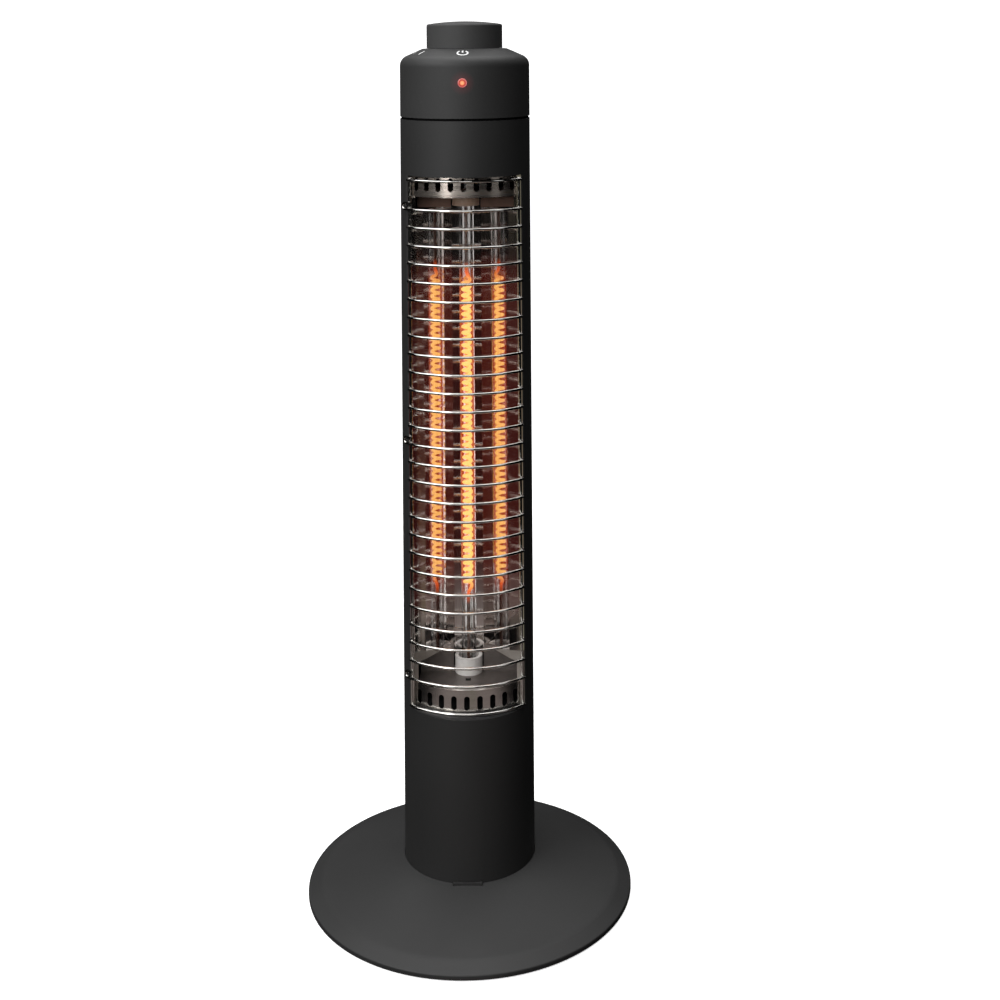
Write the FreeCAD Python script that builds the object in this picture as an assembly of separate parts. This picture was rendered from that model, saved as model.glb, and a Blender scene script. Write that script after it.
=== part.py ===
import FreeCAD, Part
import math
import os

# Free-standing halogen tower heater, in millimetres.
# The origin is on the floor under the column's axis, +Z is up and the front faces -Y.

# Clearances shared by the whole heater
seat_gap = 0.3
screw_gap = 0.1
run_gap = 0.05
weld_gap = 0.02

# Base
base_radius = 120.0
base_wall = 2.4
rim_lift = 1.0
rim_height = 3.0
rim_round = 1.2
bevel_width = 10.0
bevel_rise = 5.0
bevel_round = 16.0
dome_rise = 16.5
socket_depth = 14.5
socket_floor = 2.5
cable_hole_radius = 9.0
foot_height = 2.0
foot_radius = 7.0
foot_stem_radius = 3.0
foot_count = 6
foot_edge_distance = 13.0
plate_thickness = 1.6
weight_thickness = 4.8
weight_clearance = 2.5

# Tip-over switch
plunger_radius = 3.0
plunger_travel = 3.0
plunger_collar = 1.0
plunger_stem_radius = 1.4
stem_overrun = 1.0
spring_wire_radius = 0.3
spring_coil_radius = 2.4
spring_rest_length = 4.2
spring_turns = 3
guide_wall = 1.3
guide_cap = 1.0
switch_length = 12.8
switch_width = 6.4
lever_width = 3.6
lever_thickness = 0.6

# Column
column_radius = 48.5
column_wall = 1.2
column_length = 559.6
foot_flange = 2.0
foot_skirt_height = 26.0
foot_screw_level = 17.0
plug_wall = 2.2
plug_floor = 3.0
tab_width = 21.0
tab_proud = 1.4
tab_show = 1.0
window_sill = 129.5
window_head = 40.6
window_margin = 6.2
baffle_thickness = 3.0
baffle_skirt = 12.0
gland_level = 49.0
gland_bore_radius = 3.7
gland_wall = 2.3
gland_flange = 2.2
gland_lip = 2.4
gland_spout = 5.0
gland_relief = 1.0
gland_step = 0.5
gland_inside = 8.0
terminal_length = 26.0
terminal_width = 14.0
terminal_height = 16.0
terminal_hole_depth = 6.4
terminal_hole_spacing = 15.6

# Radiant unit
sheet = 0.8
reflector_depth = 36.0
back_half_width = 11.0
fold_half_width = 30.8
fold_depth = 7.8
flange_width = 3.1
flange_setback = 0.7
lower_plate_offset = 15.0
upper_plate_offset = 12.4
lip_height = 3.0
lower_ear_height = 16.5
upper_ear_height = 14.0
ear_behind_tube = 0.4
plate_side_inset = 2.3
tongue_margin = 1.0
plate_hole_width = 4.0
plate_hole_length = 4.5
plate_hole_gap = 3.3
band_behind_guard = 1.9
slot_count = 9
slot_pitch = 9.5
slot_width = 4.1
slot_height = 10.0
slot_below_lip = 4.3
tube_from_back = 10.2
tube_radius = 5.2
tube_wall = 0.9
cup_radius = 10.2
cup_wall = 2.4
cup_height = 12.4
cup_floor = 2.5
cap_flange = 2.5
cap_plug = 3.0
cap_pin_radius = 1.5
cap_pin_length = 8.0
coil_wire_radius = 1.2
coil_radius = 2.7
coil_turns = 49
coil_above_tube_end = 59.5
coil_below_tube_end = 63.8
tail_rise = 8.0
lead_radius = 1.3
cutout_radius = 8.0
cutout_height = 9.0
cutout_ear = 6.0
cutout_ear_thickness = 1.0
cutout_above_middle = 55.0

# Guard
guard_wire_radius = 1.0
upright_radius = 1.0
upright_inset = 2.3
guard_setback = 5.1
guard_wire_count = 27
guard_first_wire = 21.7
guard_last_wire = 24.6
frame_from_sill = 1.8
frame_from_top = 3.2
wire_overhang = 0.5
hook_straight = 2.5
hook_bend_radius = 2.2
hook_tail = 4.4
hook_peg_radius = 0.6
hook_peg_shift = 0.6

# Head
groove_height = 1.8
groove_depth = 0.9
collar_floor = 2.5
collar_skirt = 17.0
collar_screw_drop = 10.0
head_wall = 2.2
head_side = 42.8
shoulder_rise = 7.5
shoulder_round = 8.0
shoulder_top_round = 3.0
boss_radius = 4.0
boss_height = 15.0
boss_inset = 7.0
boss_count = 3
boss_start_angle = 90.0
board_radius = 33.0
board_thickness = 1.6
board_post_radius = 3.0
board_post_height = 13.8
board_post_circle = 27.0
board_post_count = 3
board_post_start_angle = 30.0
led_height = 25.8
lens_radius = 3.2
lens_flange = 1.0
lens_proud = 0.8
lens_round = 0.7
led_radius = 2.4
led_length = 4.4
led_pin = 0.7
led_pin_spacing = 2.5
sink_from_axis = 14.8
sink_length = 22.0
sink_thickness = 3.0
sink_height = 15.0
sink_fin = 7.0
sink_fin_count = 5
triac_width = 10.0
triac_depth = 4.4
triac_height = 11.0
control_radius = 14.0
control_height = 13.0
bush_radius = 4.8
bush_above_head = 4.0
nut_radius = 7.2
nut_sides = 6
nut_height = 2.4
shaft_radius = 3.0
shaft_depth = 11.0

# Knob
knob_radius = 28.4
knob_height = 20.1
knob_gap = 0.2
knob_wall = 2.6
knob_round = 1.6
knob_crown = 2.0
knob_margin = 3.0
knob_boss_wall = 3.0
knob_cap = 4.0

# Small screws
screw_radius = 1.5
screw_head_radius = 2.8
screw_head_height = 1.5
screw_length = 8.0
base_screw_length = 4.0
bolt_radius = 2.0
bolt_head_radius = 3.6
bolt_head_height = 2.4
bolt_length = 13.0
bolt_circle = 30.0
bolt_count = 4
bolt_start_angle = 45.0
bolt_boss_wall = 2.8
bolt_boss_height = 12.0
rear_screw_angle = 28.0

# Levels worked out from the sizes above
bevel_foot_z = rim_lift + rim_height
dome_foot_z = bevel_foot_z + bevel_rise
dome_top_z = dome_foot_z + dome_rise
socket_floor_z = dome_top_z - socket_depth
plate_top_z = foot_height + plate_thickness
column_bottom_z = socket_floor_z + foot_flange
column_top_z = column_bottom_z + column_length
gland_z = column_bottom_z + gland_level
window_bottom_z = column_bottom_z + window_sill
window_top_z = column_top_z - window_head
lower_plate_z = window_bottom_z + lower_plate_offset
upper_plate_z = window_top_z - upper_plate_offset
tube_bottom_z = lower_plate_z + cup_floor + cap_flange
tube_top_z = upper_plate_z - cup_floor - cap_flange
head_bottom_z = column_top_z + groove_height
head_top_z = head_bottom_z + head_side + shoulder_rise
knob_bottom_z = head_top_z + knob_gap
knob_top_z = knob_bottom_z + knob_height

# Radii and depths worked out from the sizes above
column_inner = column_radius - column_wall
plug_radius = column_inner - seat_gap
plug_inner = plug_radius - plug_wall
socket_radius = column_radius + seat_gap
socket_outer = socket_radius + base_wall
window_half_width = column_radius - window_margin
window_y = -math.sqrt(column_radius**2 - window_half_width**2)
flange_y = window_y - sheet
flange_outer = window_half_width - flange_setback
mouth_half_width = flange_outer - flange_width
reflector_back_y = flange_y + reflector_depth
tube_y = reflector_back_y - tube_from_back
guard_front_y = guard_setback - column_radius
upright_x = window_half_width - upright_inset
upright_y = flange_y - upright_radius - weld_gap
head_inner = column_radius - head_wall
screw_hole = screw_radius + screw_gap

Z_AXIS = FreeCAD.Vector(0, 0, 1)
Y_AXIS = FreeCAD.Vector(0, 1, 0)


def vec(x, y, z):
    return FreeCAD.Vector(x, y, z)


def cyl(radius, z0, z1, x=0.0, y=0.0):
    return Part.makeCylinder(radius, z1 - z0, vec(x, y, z0))


def cyl_y(radius, y0, y1, x, z):
    return Part.makeCylinder(radius, y1 - y0, vec(x, y0, z), Y_AXIS)


def ring(outer, inner, z0, z1, x=0.0, y=0.0):
    return cyl(outer, z0, z1, x, y).cut(cyl(inner, z0, z1, x, y))


def box(x0, x1, y0, y1, z0, z1):
    return Part.makeBox(x1 - x0, y1 - y0, z1 - z0, vec(x0, y0, z0))


def fuse(first, *others):
    return first.multiFuse(list(others)).removeSplitter()


def cut(shape, *tools):
    return shape.cut(Part.makeCompound(list(tools)))


def group(solids):
    return Part.makeCompound(list(solids))


def turned(shape, degrees):
    copy = shape.copy()
    copy.rotate(vec(0, 0, 0), Z_AXIS, degrees)
    return copy


def ring_copies(shape, count, start=0.0):
    return [turned(shape, start + 360.0 * i / count) for i in range(count)]


def bolt_copies(shape):
    return ring_copies(shape, bolt_count, bolt_start_angle)


def boss_copies(shape):
    return ring_copies(shape, boss_count, boss_start_angle)


def post_copies(shape):
    return ring_copies(shape, board_post_count, board_post_start_angle)


def corner_arc(before, corner, after, radius):
    """Tangent points and middle of a round of the given radius at a corner."""
    to_before = before.sub(corner).normalize()
    to_after = after.sub(corner).normalize()
    half = to_before.getAngle(to_after) / 2
    reach = radius / math.tan(half)
    start = corner + to_before * reach
    end = corner + to_after * reach
    bisector = (to_before + to_after).normalize()
    middle = corner + bisector * (radius / math.sin(half) - radius)
    return start, middle, end


def rounded_wire(corners):
    """Closed wire through (point, radius) corners, with an arc where the radius isn't zero."""
    edges = []
    ends = []
    for i, (point, radius) in enumerate(corners):
        if radius == 0:
            ends.append((point, point))
            continue
        start, middle, end = corner_arc(corners[i - 1][0], point, corners[(i + 1) % len(corners)][0], radius)
        edges.append(Part.Arc(start, middle, end).toShape())
        ends.append((start, end))
    for i, (_, leave) in enumerate(ends):
        arrive = ends[(i + 1) % len(ends)][0]
        if leave.distanceToPoint(arrive) > 1e-6:
            edges.append(Part.makeLine(leave, arrive))
    return Part.Wire(Part.__sortEdges__(edges))


def revolved(corners):
    """Solid of revolution about Z from (radius, height, round) corners."""
    wire = rounded_wire([(vec(r, 0, z), rounding) for r, z, rounding in corners])
    return Part.Face(wire).revolve(vec(0, 0, 0), Z_AXIS, 360)


def prism(points, z0, z1):
    """Upright prism on a closed outline of (x, y) points."""
    corners = [vec(x, y, z0) for x, y in points]
    face = Part.Face(Part.makePolygon(corners + corners[:1]))
    return face.extrude(vec(0, 0, z1 - z0))


def offset_path(points, distance):
    """The open path of (x, y) points moved to its left by a distance, with mitred corners."""
    moved = []
    for i, (x, y) in enumerate(points):
        before = points[max(i - 1, 0)]
        after = points[min(i + 1, len(points) - 1)]
        here = (x, y)
        arrive = before if before != here else after
        leave = after if after != here else before
        angle_in = math.atan2(y - arrive[1], x - arrive[0])
        angle_out = math.atan2(leave[1] - y, leave[0] - x)
        if before == here:
            angle_in = angle_out
        if after == here:
            angle_out = angle_in
        turn = (angle_out - angle_in + math.pi) % (2 * math.pi) - math.pi
        normal = angle_in + turn / 2 + math.pi / 2
        reach = distance / math.cos(turn / 2)
        moved.append((x + reach * math.cos(normal), y + reach * math.sin(normal)))
    return moved


def strip(points, thickness, z0, z1):
    """Bent sheet along an open path, on the left of it."""
    return prism(points + offset_path(points, thickness)[::-1], z0, z1)


def tangent_arc(start, corner, end):
    """Arc from start to end, tangent to the lines to their shared corner."""
    middle = (start + end) * 0.5
    half_chord = start.distanceToPoint(end) / 2
    angle = (corner - start).getAngle(end - start)
    return Part.Arc(start, middle + (corner - middle).normalize() * (half_chord * math.tan(angle / 2)), end)


def biarc(p0, t0, p1, t1):
    """Two tangent arcs that join two points with given directions."""
    span = p1 - p0
    both = t0 + t1
    bend = 2 * (1 - t0.dot(t1))
    along = span.dot(both)
    reach = (math.sqrt(along**2 + bend * span.dot(span)) - along) / bend
    q0 = p0 + t0 * reach
    q1 = p1 - t1 * reach
    joint = (q0 + q1) * 0.5
    return [tangent_arc(p0, q0, joint).toShape(), tangent_arc(joint, q1, p1).toShape()]


def helix_edges(x, y, radius, pitch, turns, z0):
    """Arcs of a helix in half turns, and the point and direction at each of its ends."""
    rise = pitch / (2 * math.pi)
    size = math.hypot(radius, rise)

    def place(angle):
        return vec(x + radius * math.cos(angle), y + radius * math.sin(angle), z0 + rise * angle)

    def heading(angle):
        return vec(-radius * math.sin(angle) / size, radius * math.cos(angle) / size, rise / size)

    edges = []
    for i in range(2 * turns):
        a, b = i * math.pi, (i + 1) * math.pi
        edges += biarc(place(a), heading(a), place(b), heading(b))
    last = 2 * turns * math.pi
    return edges, (place(0), heading(0)), (place(last), heading(last))


def wire_along(edges, radius):
    """Round wire swept along a chain of tangent edges."""
    path = Part.Wire(edges)
    start = edges[0].valueAt(edges[0].FirstParameter)
    direction = edges[0].tangentAt(edges[0].FirstParameter)
    section = Part.Wire(Part.makeCircle(radius, start, direction))
    return path.makePipeShell([section], True, False)


def print_self_gap(name, edges, wire_radius, turns):
    """Print the least gap between neighbouring turns, measured on points along the wire."""
    per_turn = 24
    points = Part.Wire(edges).discretize(per_turn * (turns + 2))
    least = min(
        points[i].distanceToPoint(points[j])
        for i in range(len(points))
        for j in range(i + per_turn // 2, min(i + 2 * per_turn, len(points)))
    )
    print(name, "least gap to itself", round(least - 2 * wire_radius, 2), "mm")


def screw(x, y, z, direction, length, radius=screw_radius, head_radius=screw_head_radius,
          head_height=screw_head_height):
    """Pan-head screw whose head bears at the point and whose shank runs along the direction."""
    point = vec(x, y, z)
    shank = Part.makeCylinder(radius, length, point, direction)
    head = Part.makeCylinder(head_radius, head_height, point, direction * -1)
    return fuse(shank, head)


def radial(angle, radius):
    """Point at a bearing measured from the rear (+Y) towards +X."""
    return radius * math.sin(math.radians(angle)), radius * math.cos(math.radians(angle))


# Base


def dome_height(r):
    """Height of the cover's outside over the cone between the bevel and the socket."""
    foot = base_radius - bevel_width
    return dome_foot_z + dome_rise * (foot - r) / (foot - socket_radius)


feet_circle = base_radius - foot_edge_distance
boss_angle = 180.0 / foot_count
base_boss_radius = screw_hole + base_wall
under_rim_z = bevel_foot_z - base_wall / 2
under_foot_z = dome_foot_z - base_wall
under_foot_radius = base_radius - bevel_width - base_wall
under_dome_z = dome_height(socket_outer) - base_wall
weight_top_z = plate_top_z + weight_thickness
bevel_run = (under_rim_z - plate_top_z) * bevel_width / (under_foot_z - under_rim_z)
plate_radius = base_radius - base_wall - seat_gap + min(bevel_run, 0)
dome_run = (weight_top_z - under_foot_z) * (under_foot_radius - socket_outer) / (under_dome_z - under_foot_z)
weight_outer = min(feet_circle - base_boss_radius, under_foot_radius - dome_run) - 2 * seat_gap
guide_outer = plunger_radius + run_gap + plunger_collar + guide_wall
tip_near_y = socket_outer + seat_gap
tip_y = tip_near_y + guide_outer
switch_side = guide_outer + seat_gap
weight_inner = math.hypot(switch_side + switch_width, tip_near_y + switch_length) + weight_clearance


def tab_block(margin):
    front = column_radius + tab_proud + margin
    half = tab_width / 2 + margin
    return box(-half, half, -front, -plug_inner, socket_floor_z, dome_top_z + tab_show + margin)


def base_cover():
    cover = revolved([
        (base_radius, rim_lift, 0),
        (base_radius, bevel_foot_z, rim_round),
        (base_radius - bevel_width, dome_foot_z, bevel_round),
        (socket_radius, dome_top_z, 0),
        (socket_radius, socket_floor_z, 0),
        (cable_hole_radius, socket_floor_z, 0),
        (cable_hole_radius, socket_floor_z - socket_floor, 0),
        (socket_outer, socket_floor_z - socket_floor, 0),
        (socket_outer, under_dome_z, 0),
        (under_foot_radius, under_foot_z, 0),
        (base_radius - base_wall, under_rim_z, 0),
        (base_radius - base_wall, rim_lift, 0),
    ])
    hollow = revolved([
        (0, plate_top_z, 0),
        (plate_radius, plate_top_z, 0),
        (under_foot_radius, under_foot_z, 0),
        (socket_outer, under_dome_z, 0),
        (0, under_dome_z, 0),
    ])
    boss = cyl(base_boss_radius, plate_top_z, dome_top_z, feet_circle)
    bosses = [piece.common(hollow) for piece in ring_copies(boss, foot_count, boss_angle)]
    cover = fuse(cover, *bosses)
    bolt_hole = cyl(bolt_radius + screw_gap, socket_floor_z - socket_floor, socket_floor_z, bolt_circle)
    screw_bore = cyl(screw_hole, plate_top_z, foot_height + base_screw_length + screw_gap, feet_circle)
    return cut(cover, tab_block(seat_gap), *bolt_copies(bolt_hole),
               *ring_copies(screw_bore, foot_count, boss_angle))


def base_plate():
    plate = cyl(plate_radius, foot_height, plate_top_z)
    stem_hole = cyl(foot_stem_radius + screw_gap, foot_height, plate_top_z, feet_circle)
    screw_bore = cyl(screw_hole, foot_height, plate_top_z, feet_circle)
    plunger_hole = cyl(plunger_radius + run_gap, foot_height, plate_top_z, 0, tip_y)
    return cut(plate, plunger_hole, *ring_copies(stem_hole, foot_count),
               *ring_copies(screw_bore, foot_count, boss_angle))


def base_weight():
    return ring(weight_outer, weight_inner, plate_top_z, weight_top_z)


def rubber_feet():
    pad = cyl(foot_radius, 0, foot_height, feet_circle)
    stem = cyl(foot_stem_radius, foot_height, plate_top_z, feet_circle)
    return group(ring_copies(fuse(pad, stem), foot_count))


def base_plate_screws():
    one = screw(feet_circle, 0, foot_height, Z_AXIS, base_screw_length)
    return group(ring_copies(one, foot_count, boss_angle))


def column_bolts():
    one = screw(bolt_circle, 0, socket_floor_z - socket_floor, Z_AXIS, bolt_length,
                bolt_radius, bolt_head_radius, bolt_head_height)
    return group(bolt_copies(one))


# Tip-over switch: a sprung plunger that the floor holds up

collar_bottom_z = plate_top_z + plunger_travel + screw_gap
collar_top_z = collar_bottom_z + plunger_collar
cap_bottom_z = collar_top_z + spring_rest_length
cap_top_z = cap_bottom_z + guide_cap
stem_top_z = cap_top_z + stem_overrun
lever_z = stem_top_z + screw_gap
collar_radius = plunger_radius + plunger_collar


def tip_plunger():
    pin = cyl(plunger_radius, 0, collar_bottom_z, 0, tip_y)
    collar = cyl(collar_radius, collar_bottom_z, collar_top_z, 0, tip_y)
    stem = cyl(plunger_stem_radius, collar_top_z, stem_top_z, 0, tip_y)
    return fuse(pin, collar, stem)


def tip_guide():
    barrel = cyl(guide_outer, plate_top_z, cap_top_z, 0, tip_y)
    bore = cyl(collar_radius + run_gap, plate_top_z, cap_bottom_z, 0, tip_y)
    stem_hole = cyl(plunger_stem_radius + run_gap, cap_bottom_z, cap_top_z, 0, tip_y)
    return cut(barrel, bore, stem_hole)


def tip_spring():
    rise = spring_rest_length - 2 * spring_wire_radius - 2 * screw_gap
    start_z = collar_top_z + spring_wire_radius + screw_gap
    edges, _, _ = helix_edges(0, tip_y, spring_coil_radius, rise / spring_turns, spring_turns, start_z)
    print_self_gap("tip_spring", edges, spring_wire_radius, spring_turns)
    return wire_along(edges, spring_wire_radius)


def tip_switch():
    """Switch body beside the guide, with a lever over the plunger's stem."""
    far_side = switch_side + switch_width
    half = lever_width / 2
    body = box(switch_side, far_side, tip_near_y, tip_near_y + switch_length, plate_top_z, lever_z)
    lever = box(-half, far_side, tip_y - half, tip_y + half, lever_z, lever_z + lever_thickness)
    return fuse(body, lever)


# Column

column_screw_levels = {
    "foot": column_bottom_z + foot_screw_level,
    "lower_baffle": window_bottom_z - baffle_thickness - baffle_skirt / 2,
    "upper_baffle": window_top_z + baffle_thickness + baffle_skirt / 2,
    "collar": column_top_z - collar_screw_drop,
}


def rear_holes(level, radius):
    """Pair of radial holes through the rear wall at one level."""
    tools = []
    for angle in (-rear_screw_angle, rear_screw_angle):
        x, y = radial(angle, 1)
        near = plug_inner - plug_wall
        start = vec(x * near, y * near, column_screw_levels[level])
        tools.append(Part.makeCylinder(radius, column_radius, start, vec(x, y, 0)))
    return tools


def column_screws():
    solids = []
    length = column_radius - plug_inner
    for level in column_screw_levels.values():
        for angle in (-rear_screw_angle, rear_screw_angle):
            x, y = radial(angle, column_radius)
            solids.append(screw(x, y, level, vec(-x, -y, 0).normalize(), length))
    return group(solids)


def column_shell():
    tube = ring(column_radius, column_inner, column_bottom_z, column_top_z)
    window = box(-column_radius, column_radius, -2 * column_radius, window_y, window_bottom_z, window_top_z)
    gland_hole = cyl_y(gland_bore_radius + gland_wall + screw_gap, 0, 2 * column_radius, 0, gland_z)
    screw_holes = [hole for level in column_screw_levels for hole in rear_holes(level, screw_hole)]
    shell = cut(tube, window, gland_hole, tab_block(seat_gap), *screw_holes)
    return fuse(shell, *(hook_peg(z) for z in hook_levels))


def column_foot():
    flange = cyl(column_radius, socket_floor_z, column_bottom_z)
    floor = cyl(plug_radius, column_bottom_z, socket_floor_z + plug_floor)
    skirt = ring(plug_radius, plug_inner, socket_floor_z, column_bottom_z + foot_skirt_height)
    boss = cyl(bolt_radius + bolt_boss_wall, socket_floor_z, socket_floor_z + bolt_boss_height, bolt_circle)
    tab = tab_block(0)
    plug = fuse(flange, floor, skirt, tab, *bolt_copies(boss))
    bolt_hole = cyl(bolt_radius + screw_gap, socket_floor_z, socket_floor_z + bolt_boss_height, bolt_circle)
    cable_hole = cyl(cable_hole_radius, socket_floor_z, socket_floor_z + plug_floor)
    return cut(plug, cable_hole, *bolt_copies(bolt_hole), *rear_holes("foot", screw_hole))


def baffle(face_z, outward, level):
    """Disc with a short skirt that closes the column at one end of the window."""
    floor_z = sorted((face_z, face_z + outward * baffle_thickness))
    skirt_z = sorted((face_z, face_z + outward * (baffle_thickness + baffle_skirt)))
    disc = cyl(plug_radius, *floor_z)
    skirt = ring(plug_radius, plug_inner, *skirt_z)
    lead_hole = cyl(lead_radius + seat_gap, *floor_z, 0, tube_y)
    return cut(fuse(disc, skirt), lead_hole, *rear_holes(level, screw_hole))


def cord_gland():
    """Flanged bush in the rear wall, with a close bore behind the shell and a wider one inside it."""
    outer = gland_bore_radius + gland_wall
    body_y = column_inner - gland_inside
    flange_end = column_radius + gland_flange
    spout_end = flange_end + gland_spout
    body = cyl_y(outer, body_y, spout_end, 0, gland_z)
    flange = cyl_y(outer + gland_lip, column_radius, flange_end, 0, gland_z)
    bore = cyl_y(gland_bore_radius, body_y, spout_end, 0, gland_z)
    relief = cyl_y(gland_bore_radius + gland_relief, body_y, column_radius + gland_step, 0, gland_z)
    return cut(fuse(body, flange), bore, relief)


def terminal_block():
    base_z = socket_floor_z + plug_floor
    half = terminal_length / 2
    depth = terminal_width / 2
    top_z = base_z + terminal_height
    block = box(-half, half, tube_y - depth, tube_y + depth, base_z, top_z)
    clamp_holes = [
        cyl(screw_radius, top_z - terminal_hole_depth, top_z, x, tube_y)
        for x in (-terminal_hole_spacing / 2, terminal_hole_spacing / 2)
    ]
    return cut(block, *clamp_holes)


# Guard: bowed wires welded to two uprights, three of them hooked over pegs on the column's left wall

guard_depth = upright_y - guard_front_y
weld_distance = guard_wire_radius + upright_radius + weld_gap
guard_radius = (upright_x**2 + guard_depth**2 - weld_distance**2) / (2 * (guard_depth - weld_distance))
guard_centre_y = guard_front_y + guard_radius
upright_angle = math.asin(upright_x / (guard_radius - weld_distance))
wire_angle = upright_angle + wire_overhang / guard_radius
hook_way = vec(-math.cos(wire_angle), math.sin(wire_angle), 0)
first_wire_z = window_bottom_z + guard_first_wire
guard_pitch = (window_top_z - guard_last_wire - first_wire_z) / (guard_wire_count - 1)
guard_levels = [first_wire_z + guard_pitch * i for i in range(guard_wire_count)]
hook_levels = [guard_levels[0], guard_levels[guard_wire_count // 2], guard_levels[-1]]
frame_levels = [window_bottom_z + frame_from_sill, window_top_z - frame_from_top]


def guard_point(angle, z):
    return vec(guard_radius * math.sin(angle), guard_centre_y - guard_radius * math.cos(angle), z)


def hook_points(z):
    """Points of a hook: where the bow ends, where the upward bend starts, and the bend's centre."""
    leave = guard_point(-wire_angle, z)
    bend = leave + hook_way * hook_straight
    return leave, bend, bend + Z_AXIS * hook_bend_radius


def hook_peg(z):
    """Peg that stands forward from the middle of the column's wall, through the loop of a hook."""
    middle = hook_points(z)[2] - hook_way * hook_peg_shift
    wall_middle = (column_radius + column_inner) / 2
    root_y = -math.sqrt(wall_middle**2 - middle.x**2)
    return cyl_y(hook_peg_radius, middle.y - 2 * guard_wire_radius, root_y, middle.x, middle.z)


def bowed_wire(z):
    start = guard_point(-wire_angle, z)
    end = guard_point(wire_angle, z)
    arc = Part.Arc(start, guard_point(0, z), end).toShape()
    return wire_along([arc], guard_wire_radius)


def hook_wire(z):
    leave, bend, centre = hook_points(z)
    turn_middle = centre + hook_way * hook_bend_radius
    turn_end = centre + Z_AXIS * hook_bend_radius
    edges = [
        Part.Arc(guard_point(wire_angle, z), guard_point(0, z), leave).toShape(),
        Part.makeLine(leave, bend),
        Part.Arc(bend, turn_middle, turn_end).toShape(),
        Part.makeLine(turn_end, turn_end - hook_way * hook_tail),
    ]
    return wire_along(edges, guard_wire_radius)


def guard_wires():
    return group(bowed_wire(z) for z in guard_levels if z not in hook_levels)


def guard_hook_wires():
    return group(hook_wire(z) for z in hook_levels)


def guard_frame():
    return group(bowed_wire(z) for z in frame_levels)


def guard_uprights():
    low = frame_levels[0] - guard_wire_radius
    high = frame_levels[1] + guard_wire_radius
    return group(cyl(upright_radius, low, high, x, upright_y) for x in (-upright_x, upright_x))


# Radiant unit

mirror_path = [
    (-mouth_half_width, flange_y),
    (-fold_half_width, flange_y + fold_depth),
    (-back_half_width, reflector_back_y),
    (back_half_width, reflector_back_y),
    (fold_half_width, flange_y + fold_depth),
    (mouth_half_width, flange_y),
]
inset_path = offset_path(mirror_path, -seat_gap)
band_front_y = guard_front_y + guard_wire_radius + band_behind_guard
band_end_x, band_end_y = inset_path[-1]
band_bow = band_end_y - band_front_y
band_radius = (band_end_x**2 + band_bow**2) / (2 * band_bow)
band_centre_y = band_front_y + band_radius
plate_half_width = mouth_half_width - plate_side_inset
tongue_half_width = cup_radius + tongue_margin
ear_y = tube_y + ear_behind_tube
lower_ear_z = lower_plate_z + lower_ear_height
upper_ear_z = upper_plate_z - upper_ear_height
lower_cup_end_z = lower_plate_z + cup_height + seat_gap
upper_cup_end_z = upper_plate_z - cup_height - seat_gap


def reflector():
    """Trough between two flanges; its mirror ends at the cups and at the ears of the end plates."""
    path = [(-flange_outer, flange_y)] + mirror_path + [(flange_outer, flange_y)]
    trough = strip(path, sheet, window_bottom_z, window_top_z)
    depth = (flange_y - sheet, reflector_back_y + 2 * sheet)
    ends = []
    for side in (-1, 1):
        beside_cup = sorted((side * tongue_half_width, side * plate_half_width))
        ends.append(box(*beside_cup, *depth, window_bottom_z, lower_ear_z))
        ends.append(box(*beside_cup, *depth, upper_ear_z, window_top_z))
    behind_cup = (-tongue_half_width, tongue_half_width)
    ends.append(box(*behind_cup, *depth, window_bottom_z, lower_cup_end_z))
    ends.append(box(*behind_cup, *depth, upper_cup_end_z, window_top_z))
    return cut(trough, *ends)


def arc_edge(radius, z, reach):
    """Arc of the slotted band seen from above, from right to left."""
    return Part.Arc(
        vec(radius * math.sin(reach), band_centre_y - radius * math.cos(reach), z),
        vec(0, band_centre_y - radius, z),
        vec(-radius * math.sin(reach), band_centre_y - radius * math.cos(reach), z),
    ).toShape()


def closed_face(edges):
    return Part.Face(Part.Wire(Part.__sortEdges__(edges)))


def end_plate(plate_z, ear_z, outer_z):
    """Plate across one end of the reflector, with a slotted band in front and an ear beside the cup."""
    reach = math.asin(band_end_x / band_radius)
    inward = math.copysign(1, ear_z - plate_z)
    plate_levels = sorted((plate_z, plate_z - inward * sheet))
    band_levels = sorted((outer_z, plate_z + inward * lip_height))
    ear_levels = sorted((plate_z - inward * sheet, ear_z))
    right_side = [
        (tongue_half_width, tube_y + tongue_half_width),
        (tongue_half_width, ear_y),
        (plate_half_width, ear_y),
        (plate_half_width, band_end_y),
        (band_end_x, band_end_y),
    ]
    outline = [(-x, y) for x, y in reversed(right_side)] + right_side
    corners = [vec(x, y, plate_levels[0]) for x, y in outline]
    plate_edges = [Part.makeLine(a, b) for a, b in zip(corners, corners[1:])]
    plate = closed_face(plate_edges + [arc_edge(band_radius, plate_levels[0], reach)])
    plate = plate.extrude(vec(0, 0, sheet))
    outside = arc_edge(band_radius, band_levels[0], reach)
    inside = arc_edge(band_radius - sheet, band_levels[0], reach)
    ends = [
        Part.makeLine(outside.valueAt(outside.FirstParameter), inside.valueAt(inside.FirstParameter)),
        Part.makeLine(outside.valueAt(outside.LastParameter), inside.valueAt(inside.LastParameter)),
    ]
    band = closed_face([outside, inside] + ends).extrude(vec(0, 0, band_levels[1] - band_levels[0]))
    ears = [
        box(*sorted((side * tongue_half_width, side * plate_half_width)), ear_y - sheet, ear_y, *ear_levels)
        for side in (-1, 1)
    ]
    solid = fuse(plate, band, *ears)
    slot_end = plate_z + inward * (lip_height - slot_below_lip)
    slot_levels = sorted((slot_end, slot_end - inward * slot_height))
    pin_hole = cyl(cap_pin_radius + screw_gap, *plate_levels, 0, tube_y)
    hole_y = tube_y - cup_radius - plate_hole_gap
    half_hole = plate_hole_width / 2
    square_hole = box(-half_hole, half_hole, hole_y - plate_hole_length, hole_y, *plate_levels)
    return cut(solid, pin_hole, square_hole, *band_slots(slot_levels))


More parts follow.
